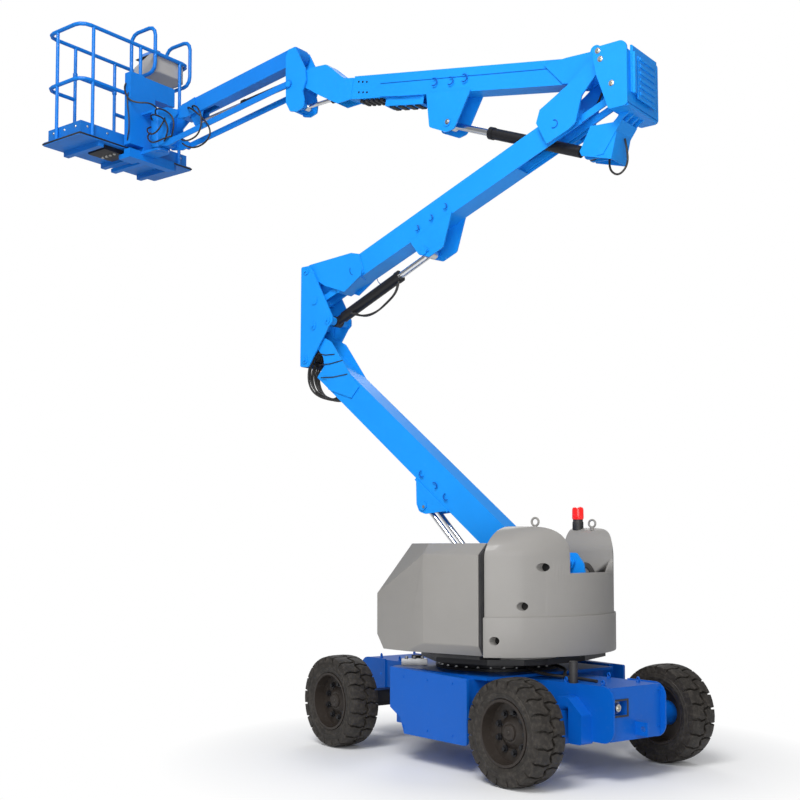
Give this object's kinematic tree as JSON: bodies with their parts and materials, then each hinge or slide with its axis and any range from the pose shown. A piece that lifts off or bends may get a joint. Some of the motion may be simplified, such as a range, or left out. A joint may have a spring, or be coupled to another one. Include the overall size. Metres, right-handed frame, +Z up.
{
  "type": "articulating boom lift",
  "caption": "Electric articulating boom lift: wheeled chassis, slewing turret, folding level-link riser, telescoping boom, jib and railed work platform",
  "frame": {"origin": "on the ground under the slew axis, midway between the axles", "axes": "+X over the fixed axle, +Y the left side, +Z up; the boom plane is turned 15 degrees about +Z at rest"},
  "size_m": [6.3148, 2.8784, 6.929],
  "materials": {
    "blue_paint": "gloss paint",
    "grey_paint": "gloss paint",
    "black_paint": "satin paint",
    "chrome": "polished",
    "tyre": "matt",
    "rim": "satin paint",
    "plain_plastic": "matt",
    "light_grey": "satin paint"
  },
  "bodies": {
    "chassis": {"chassis_frame": "blue_paint", "chassis_side_boxes": "blue_paint", "slew_ring": "black_paint", "fixed_axle": "black_paint", "steered_axle": "blue_paint"},
    "wheel_front_left": {"tyre_front_left": "tyre", "rim_front_left": "rim"},
    "wheel_front_right": {"tyre_front_right": "tyre", "rim_front_right": "rim"},
    "knuckle_left": {"knuckle_left": "blue_paint"},
    "knuckle_right": {"knuckle_right": "blue_paint"},
    "steer_rod": {"steer_rod": "chrome"},
    "wheel_rear_left": {"tyre_rear_left": "tyre", "rim_rear_left": "rim"},
    "wheel_rear_right": {"tyre_rear_right": "tyre", "rim_rear_right": "rim"},
    "turret": {"turret_frame": "blue_paint", "batteries": "plain_plastic", "counterweight": "grey_paint"},
    "hood_left": {"hood_left": "grey_paint"},
    "hood_right": {"hood_right": "grey_paint"},
    "lower_arm": {"lower_arm": "blue_paint"},
    "lower_link": {"lower_link": "black_paint"},
    "mid_pivot": {"mid_pivot": "blue_paint"},
    "lower_lift_barrels": {"lower_lift_barrels": "black_paint"},
    "lower_lift_rods": {"lower_lift_rods": "chrome"},
    "upper_arm": {"upper_arm": "blue_paint"},
    "upper_link": {"upper_link": "blue_paint"},
    "upper_lift_barrel": {"upper_lift_barrel": "black_paint"},
    "upper_lift_rod": {"upper_lift_rod": "chrome"},
    "knuckle_housing": {"knuckle_housing": "blue_paint"},
    "boom_outer": {"boom_outer": "blue_paint"},
    "boom_lift_barrel": {"boom_lift_barrel": "black_paint"},
    "boom_lift_rod": {"boom_lift_rod": "chrome"},
    "boom_inner": {"boom_inner": "blue_paint"},
    "jib_bracket": {"jib_bracket": "blue_paint"},
    "level_barrel": {"level_barrel": "black_paint"},
    "level_rod": {"level_rod": "chrome"},
    "jib_beam": {"jib_beam": "blue_paint"},
    "jib_links": {"jib_links": "blue_paint"},
    "jib_lift_barrel": {"jib_lift_barrel": "black_paint"},
    "jib_lift_rod": {"jib_lift_rod": "chrome"},
    "jib_end": {"jib_end": "blue_paint"},
    "platform": {"platform_mount": "blue_paint", "platform_floor": "blue_paint", "platform_rails": "blue_paint", "platform_console": "light_grey"},
    "drop_bar": {"platform_drop_bar": "blue_paint"}
  },
  "joints": [
    {"name": "slew", "type": "hinge", "parent": "chassis", "child": "turret", "pos_m": [0, 0, 0.745], "axis": [0, 0, 1], "range_deg": [-192.5, 162.5]},
    {"name": "wheel_front_left_spin", "type": "hinge", "parent": "chassis", "child": "wheel_front_left", "pos_m": [1.015, 0.755, 0.357], "axis": [0, 1, 0], "continuous": true},
    {"name": "wheel_front_right_spin", "type": "hinge", "parent": "chassis", "child": "wheel_front_right", "pos_m": [1.015, -0.755, 0.357], "axis": [0, 1, 0], "continuous": true},
    {"name": "steer", "type": "hinge", "parent": "chassis", "child": "knuckle_left", "pos_m": [-1.015, 0.545, 0.357], "axis": [0, 0, 1], "range_deg": [-28, 28]},
    {"name": "steer_right", "type": "hinge", "parent": "chassis", "child": "knuckle_right", "pos_m": [-1.015, -0.545, 0.357], "axis": [0, 0, 1], "range_deg": [-28.2, 28.2]},
    {"name": "steer_rod_slide", "type": "slide", "parent": "chassis", "child": "steer_rod", "axis": [0, 1, 0], "range_m": [-0.0645, 0.0645]},
    {"name": "wheel_rear_left_spin", "type": "hinge", "parent": "knuckle_left", "child": "wheel_rear_left", "pos_m": [-1.015, 0.755, 0.357], "axis": [0, 1, 0], "continuous": true},
    {"name": "wheel_rear_right_spin", "type": "hinge", "parent": "knuckle_right", "child": "wheel_rear_right", "pos_m": [-1.015, -0.755, 0.357], "axis": [0, 1, 0], "continuous": true},
    {"name": "hood_left_open", "type": "hinge", "parent": "turret", "child": "hood_left", "pos_m": [-0.08438, 0.31489, 1.592], "axis": [0.9659, 0.2588, 0], "range_deg": [0, 60]},
    {"name": "hood_right_open", "type": "hinge", "parent": "turret", "child": "hood_right", "pos_m": [0.08438, -0.31489, 1.592], "axis": [-0.9659, -0.2588, 0], "range_deg": [0, 60]},
    {"name": "lower_arm_lift", "type": "hinge", "parent": "turret", "child": "lower_arm", "pos_m": [-0.56507, -0.15141, 1.457], "axis": [-0.2588, 0.9659, 0], "range_deg": [-21.6, 40.4]},
    {"name": "lower_link_turn", "type": "hinge", "parent": "turret", "child": "lower_link", "pos_m": [-0.4762, -0.1276, 1.171], "axis": [-0.2588, 0.9659, 0], "range_deg": [-21.8, 40.6]},
    {"name": "mid_pivot_level", "type": "hinge", "parent": "lower_arm", "child": "mid_pivot", "pos_m": [1.7285, 0.46315, 3.47784], "axis": [-0.2588, 0.9659, 0], "range_deg": [-40.6, 21.8]},
    {"name": "lower_lift_barrel_turn", "type": "hinge", "parent": "turret", "child": "lower_lift_barrels", "pos_m": [-0.28978, -0.07765, 0.88], "axis": [0.2588, -0.9659, 0], "range_deg": [-36.13, 19.41]},
    {"name": "lower_lift_rod_slide", "type": "slide", "parent": "lower_lift_barrels", "child": "lower_lift_rods", "axis": [0.6514, 0.1745, 0.7384], "range_m": [-0.43295, 0.23171]},
    {"name": "upper_arm_lift", "type": "hinge", "parent": "mid_pivot", "child": "upper_arm", "pos_m": [1.80964, 0.48489, 3.96984], "axis": [0.2588, -0.9659, 0], "range_deg": [-33, 14.9]},
    {"name": "upper_link_turn", "type": "hinge", "parent": "mid_pivot", "child": "upper_link", "pos_m": [1.71498, 0.45953, 3.69484], "axis": [0.2588, -0.9659, 0], "range_deg": [-33.2, 15.1]},
    {"name": "upper_lift_barrel_turn", "type": "hinge", "parent": "mid_pivot", "child": "upper_lift_barrel", "pos_m": [1.57357, 0.42164, 3.51094], "axis": [0.2588, -0.9659, 0], "range_deg": [-32.06, 14.59]},
    {"name": "upper_lift_rod_slide", "type": "slide", "parent": "upper_lift_barrel", "child": "upper_lift_rod", "axis": [-0.8829, -0.2366, 0.4056], "range_m": [-0.13185, 0.29141]},
    {"name": "knuckle_level", "type": "hinge", "parent": "upper_arm", "child": "knuckle_housing", "pos_m": [-0.9836, -0.26355, 5.13584], "axis": [0.2588, -0.9659, 0], "range_deg": [-15.1, 33.2]},
    {"name": "boom_lift", "type": "hinge", "parent": "knuckle_housing", "child": "boom_outer", "pos_m": [-0.9836, -0.26355, 5.13584], "axis": [0.2588, -0.9659, 0], "range_deg": [-15.5, 59.5]},
    {"name": "boom_lift_barrel_turn", "type": "hinge", "parent": "knuckle_housing", "child": "boom_lift_barrel", "pos_m": [-0.8219, -0.22023, 4.47794], "axis": [0.2588, -0.9659, 0], "range_deg": [-12.92, 49.03]},
    {"name": "boom_lift_rod_slide", "type": "slide", "parent": "boom_lift_barrel", "child": "boom_lift_rod", "axis": [0.8984, 0.2407, 0.3674], "range_m": [-0.16099, 0.61656]},
    {"name": "boom_extend", "type": "slide", "parent": "boom_outer", "child": "boom_inner", "axis": [0.9504, 0.2546, 0.1788], "range_m": [0, 1.35]},
    {"name": "jib_bracket_level", "type": "hinge", "parent": "boom_inner", "child": "jib_bracket", "pos_m": [1.89237, 0.50706, 5.72064], "axis": [0.2588, -0.9659, 0], "range_deg": [-59.7, 15.7]},
    {"name": "level_barrel_turn", "type": "hinge", "parent": "boom_inner", "child": "level_barrel", "pos_m": [1.19687, 0.3207, 5.48815], "axis": [0.2588, -0.9659, 0], "range_deg": [-1.55, 5.37]},
    {"name": "level_rod_slide", "type": "slide", "parent": "level_barrel", "child": "level_rod", "axis": [0.9659, 0.2588, -0.0029], "range_m": [-0.21709, 0.05692]},
    {"name": "jib_lift", "type": "hinge", "parent": "jib_bracket", "child": "jib_beam", "pos_m": [2.02663, 0.54303, 5.96894], "axis": [0.2588, -0.9659, 0], "range_deg": [-38, 50]},
    {"name": "jib_links_turn", "type": "hinge", "parent": "jib_bracket", "child": "jib_links", "pos_m": [2.04788, 0.54873, 5.69994], "axis": [0.2588, -0.9659, 0], "range_deg": [-38.2, 50.2]},
    {"name": "jib_lift_barrel_turn", "type": "hinge", "parent": "jib_bracket", "child": "jib_lift_barrel", "pos_m": [2.04788, 0.54873, 5.75994], "axis": [0.2588, -0.9659, 0], "range_deg": [-38.92, 51.15]},
    {"name": "jib_lift_rod_slide", "type": "slide", "parent": "jib_lift_barrel", "child": "jib_lift_rod", "axis": [0.9629, 0.258, -0.0789], "range_m": [-0.1316, 0.173]},
    {"name": "jib_end_level", "type": "hinge", "parent": "jib_beam", "child": "jib_end", "pos_m": [3.50681, 0.93965, 5.77997], "axis": [0.2588, -0.9659, 0], "range_deg": [-50.2, 38.2]},
    {"name": "platform_turn", "type": "hinge", "parent": "jib_end", "child": "platform", "pos_m": [3.81552, 1.02236, 5.69], "axis": [0, 0, 1], "range_deg": [-90, 90]},
    {"name": "drop_bar_lift", "type": "slide", "parent": "platform", "child": "drop_bar", "axis": [0, 0, 1], "range_m": [-0.18, 0.22]}
  ],
  "couplings": [
    {"joint": "steer_right", "follows": "steer", "ratio": 1},
    {"joint": "steer_rod_slide", "follows": "steer", "m_per_rad": 0.13},
    {"joint": "lower_link_turn", "follows": "lower_arm_lift", "ratio": 1},
    {"joint": "mid_pivot_level", "follows": "lower_arm_lift", "ratio": -1},
    {"joint": "lower_lift_barrel_turn", "follows": "lower_arm_lift", "ratio": -0.88929},
    {"joint": "lower_lift_rod_slide", "follows": "lower_arm_lift", "m_per_rad": -0.61331},
    {"joint": "upper_link_turn", "follows": "upper_arm_lift", "ratio": 1},
    {"joint": "upper_lift_barrel_turn", "follows": "upper_arm_lift", "ratio": 0.96553},
    {"joint": "upper_lift_rod_slide", "follows": "upper_arm_lift", "m_per_rad": -0.50508},
    {"joint": "knuckle_level", "follows": "upper_arm_lift", "ratio": -1},
    {"joint": "boom_lift_barrel_turn", "follows": "boom_lift", "ratio": 0.82068},
    {"joint": "boom_lift_rod_slide", "follows": "boom_lift", "m_per_rad": 0.59324},
    {"joint": "jib_bracket_level", "follows": "boom_lift", "ratio": -1},
    {"joint": "level_barrel_turn", "follows": "boom_lift", "ratio": 0.086884},
    {"joint": "level_rod_slide", "follows": "boom_lift", "m_per_rad": -0.20856},
    {"joint": "jib_links_turn", "follows": "jib_lift", "ratio": 1},
    {"joint": "jib_lift_barrel_turn", "follows": "jib_lift", "ratio": 1.019},
    {"joint": "jib_lift_rod_slide", "follows": "jib_lift", "m_per_rad": 0.19767},
    {"joint": "jib_end_level", "follows": "jib_lift", "ratio": -1}
  ]
}
